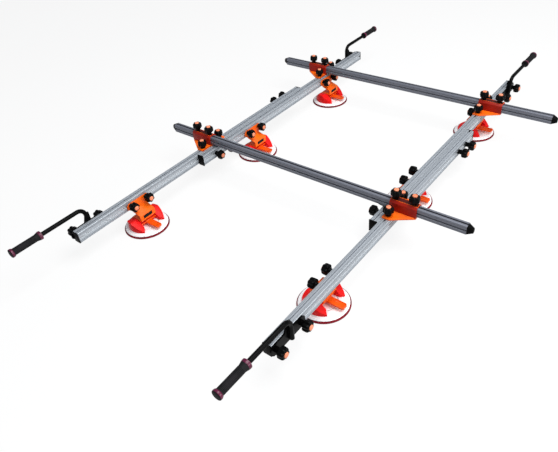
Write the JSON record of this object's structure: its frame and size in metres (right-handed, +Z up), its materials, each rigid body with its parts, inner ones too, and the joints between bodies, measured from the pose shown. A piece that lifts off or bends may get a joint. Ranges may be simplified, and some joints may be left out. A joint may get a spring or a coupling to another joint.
{
  "type": "glass panel lifter",
  "caption": "Telescopic carrying frame with slotted rails, cross bars, end handles and lever-operated suction cups for lifting and moving glass panels by hand.",
  "frame": {"origin": "on the floor under the middle of the frame's bounding box", "axes": "+Y along the rails from the near handles to the far ones, +X along the cross bars to the right, +Z up"},
  "size_m": [1.584, 2.6024, 0.2522],
  "materials": {
    "silver_profile": "satin anodised",
    "dark_profile": "dark satin anodised",
    "orange_plate": "orange powder coat",
    "black_cap": "matt",
    "black_knob": "matt",
    "red_housing": "red powder coat",
    "white_pad": "white, with a dark red lip",
    "orange_lever": "glossy",
    "black_frame": "black powder coat",
    "dark_grip": "ribbed, matt"
  },
  "bodies": {
    "left_near_side": {"rail_left_near": "silver_profile", "saddle_left_near": "orange_plate", "end_caps_left_near": "black_cap", "clamp_knobs_left_near": "black_knob", "cross_bar_near": "dark_profile"},
    "handle_left_near": {"handle_frame_left_near": "black_frame", "handle_grip_left_near": "dark_grip", "handle_knobs_left_near": "black_knob"},
    "left_far_side": {"rail_left_far": "silver_profile", "saddle_left_far": "orange_plate", "end_caps_left_far": "black_cap", "clamp_knobs_left_far": "black_knob", "cross_bar_far": "dark_profile"},
    "handle_left_far": {"handle_frame_left_far": "black_frame", "handle_grip_left_far": "dark_grip", "handle_knobs_left_far": "black_knob"},
    "cup_left_near": {"cup_bracket_left_near": "orange_plate", "cup_housing_left_near": "red_housing", "cup_pad_left_near": "white_pad", "cup_knobs_left_near": "black_knob"},
    "lever_left_near": {"cup_lever_left_near": "orange_lever"},
    "cup_left_mid": {"cup_bracket_left_mid": "orange_plate", "cup_housing_left_mid": "red_housing", "cup_pad_left_mid": "white_pad", "cup_knobs_left_mid": "black_knob"},
    "lever_left_mid": {"cup_lever_left_mid": "orange_lever"},
    "cup_left_far": {"cup_bracket_left_far": "orange_plate", "cup_housing_left_far": "red_housing", "cup_pad_left_far": "white_pad", "cup_knobs_left_far": "black_knob"},
    "lever_left_far": {"cup_lever_left_far": "orange_lever"},
    "right_near_side": {"rail_right_near": "silver_profile", "saddle_right_near": "orange_plate", "end_caps_right_near": "black_cap", "clamp_knobs_right_near": "black_knob"},
    "handle_right_near": {"handle_frame_right_near": "black_frame", "handle_grip_right_near": "dark_grip", "handle_knobs_right_near": "black_knob"},
    "right_far_side": {"rail_right_far": "silver_profile", "saddle_right_far": "orange_plate", "end_caps_right_far": "black_cap", "clamp_knobs_right_far": "black_knob"},
    "handle_right_far": {"handle_frame_right_far": "black_frame", "handle_grip_right_far": "dark_grip", "handle_knobs_right_far": "black_knob"},
    "cup_right_near": {"cup_bracket_right_near": "orange_plate", "cup_housing_right_near": "red_housing", "cup_pad_right_near": "white_pad", "cup_knobs_right_near": "black_knob"},
    "lever_right_near": {"cup_lever_right_near": "orange_lever"},
    "cup_right_mid": {"cup_bracket_right_mid": "orange_plate", "cup_housing_right_mid": "red_housing", "cup_pad_right_mid": "white_pad", "cup_knobs_right_mid": "black_knob"},
    "lever_right_mid": {"cup_lever_right_mid": "orange_lever"},
    "cup_right_far": {"cup_bracket_right_far": "orange_plate", "cup_housing_right_far": "red_housing", "cup_pad_right_far": "white_pad", "cup_knobs_right_far": "black_knob"},
    "lever_right_far": {"cup_lever_right_far": "orange_lever"}
  },
  "joints": [
    {"name": "left_extension", "type": "slide", "parent": "left_near_side", "child": "left_far_side", "axis": [0, 1, 0], "range_m": [-0.2, 0.44]},
    {"name": "width_setting", "type": "slide", "parent": "left_near_side", "child": "right_near_side", "axis": [1, 0, 0], "range_m": [-0.45, 0.18]},
    {"name": "right_extension", "type": "slide", "parent": "right_near_side", "child": "right_far_side", "axis": [0, 1, 0], "range_m": [-0.2, 0.44]},
    {"name": "cup_slide_left_near", "type": "slide", "parent": "left_near_side", "child": "cup_left_near", "axis": [0, 1, 0], "range_m": [-0.2, 0.05]},
    {"name": "lever_turn_left_near", "type": "hinge", "parent": "cup_left_near", "child": "lever_left_near", "pos_m": [-0.4793, -0.742, 0.034], "axis": [0, -1, 0], "range_deg": [0, 45]},
    {"name": "cup_slide_left_mid", "type": "slide", "parent": "left_far_side", "child": "cup_left_mid", "axis": [0, 1, 0], "range_m": [-0.1, 0.3]},
    {"name": "lever_turn_left_mid", "type": "hinge", "parent": "cup_left_mid", "child": "lever_left_mid", "pos_m": [-0.4447, 0, 0.034], "axis": [0, -1, 0], "range_deg": [0, 45]},
    {"name": "cup_slide_left_far", "type": "slide", "parent": "left_far_side", "child": "cup_left_far", "axis": [0, 1, 0], "range_m": [-0.15, 0.2]},
    {"name": "lever_turn_left_far", "type": "hinge", "parent": "cup_left_far", "child": "lever_left_far", "pos_m": [-0.4447, 0.676, 0.034], "axis": [0, -1, 0], "range_deg": [0, 45]},
    {"name": "handle_slide_left_near", "type": "slide", "parent": "left_near_side", "child": "handle_left_near", "axis": [0, 1, 0], "range_m": [0, 0.25]},
    {"name": "handle_slide_left_far", "type": "slide", "parent": "left_far_side", "child": "handle_left_far", "axis": [0, 1, 0], "range_m": [-0.1, 0]},
    {"name": "cup_slide_right_near", "type": "slide", "parent": "right_near_side", "child": "cup_right_near", "axis": [0, 1, 0], "range_m": [-0.2, 0.05]},
    {"name": "lever_turn_right_near", "type": "hinge", "parent": "cup_right_near", "child": "lever_right_near", "pos_m": [0.4573, -0.697, 0.034], "axis": [0, -1, 0], "range_deg": [0, 45]},
    {"name": "cup_slide_right_mid", "type": "slide", "parent": "right_far_side", "child": "cup_right_mid", "axis": [0, 1, 0], "range_m": [-0.1, 0.3]},
    {"name": "lever_turn_right_mid", "type": "hinge", "parent": "cup_right_mid", "child": "lever_right_mid", "pos_m": [0.4227, 0.022, 0.034], "axis": [0, -1, 0], "range_deg": [0, 45]},
    {"name": "cup_slide_right_far", "type": "slide", "parent": "right_far_side", "child": "cup_right_far", "axis": [0, 1, 0], "range_m": [-0.15, 0.2]},
    {"name": "lever_turn_right_far", "type": "hinge", "parent": "cup_right_far", "child": "lever_right_far", "pos_m": [0.4227, 0.722, 0.034], "axis": [0, -1, 0], "range_deg": [0, 45]},
    {"name": "handle_slide_right_near", "type": "slide", "parent": "right_near_side", "child": "handle_right_near", "axis": [0, 1, 0], "range_m": [0, 0.25]},
    {"name": "handle_slide_right_far", "type": "slide", "parent": "right_far_side", "child": "handle_right_far", "axis": [0, 1, 0], "range_m": [-0.1, 0]}
  ],
  "couplings": [
    {"joint": "right_extension", "follows": "left_extension", "ratio": 1}
  ]
}
